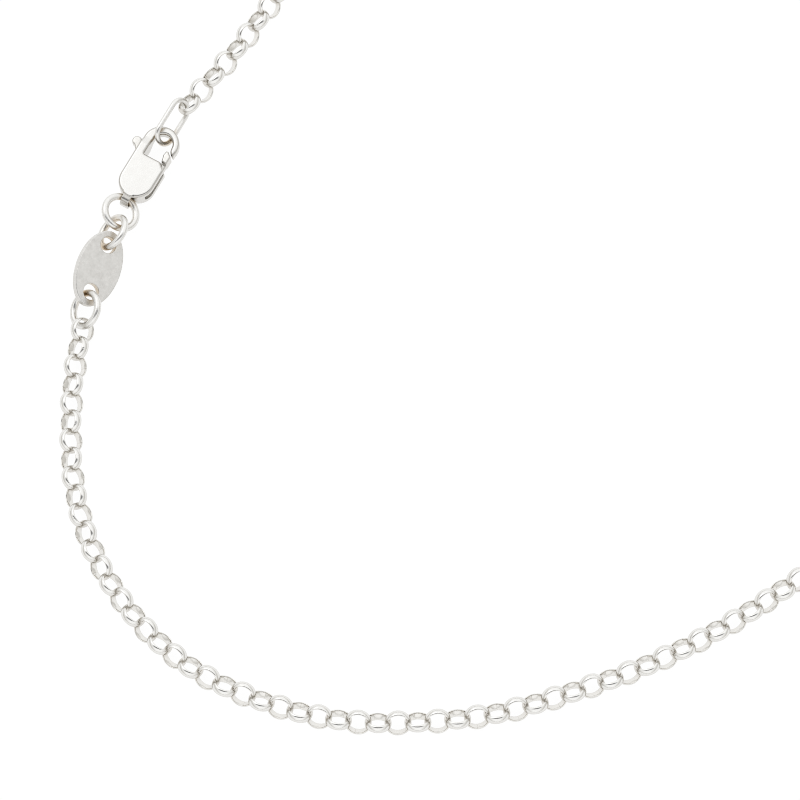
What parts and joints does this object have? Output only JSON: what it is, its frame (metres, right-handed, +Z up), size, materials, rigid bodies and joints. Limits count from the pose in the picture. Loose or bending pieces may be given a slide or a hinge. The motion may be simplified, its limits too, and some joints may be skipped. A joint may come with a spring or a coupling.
{
  "type": "rolo chain necklace",
  "caption": "Silver belcher necklace of round band links with a lobster clasp, jump rings, an oval tag and an oval end link, lying as a closed loop.",
  "frame": {"origin": "middle of the loop's box, on the surface that the necklace lies on", "axes": "+Z up from the surface; the clasp and tag lie towards -X, and -Y is the near side of the loop"},
  "size_m": [0.1504, 0.1488, 0.004],
  "materials": {
    "polished_silver": "polished sterling silver",
    "satin_silver": "fine satin sterling silver",
    "cast_silver": "tumbled cast sterling silver"
  },
  "bodies": {
    "necklace": {"chain_tag_side": "polished_silver", "chain_clasp_side": "polished_silver", "end_link": "polished_silver", "clasp_body": "cast_silver", "clasp_pin": "cast_silver", "clasp_ring": "polished_silver", "tag_ring_upper": "polished_silver", "tag": "satin_silver", "tag_ring_lower": "polished_silver"},
    "lever": {"clasp_lever": "cast_silver"}
  },
  "joints": [
    {"name": "lever_pivot", "type": "hinge", "parent": "necklace", "child": "lever", "pos_m": [-0.0655, -0.0039, 0.00135], "axis": [0, 0, 1], "range_deg": [0, 22], "stiffness_Nm_per_rad": 0.002, "springref_deg": -17.19}
  ]
}
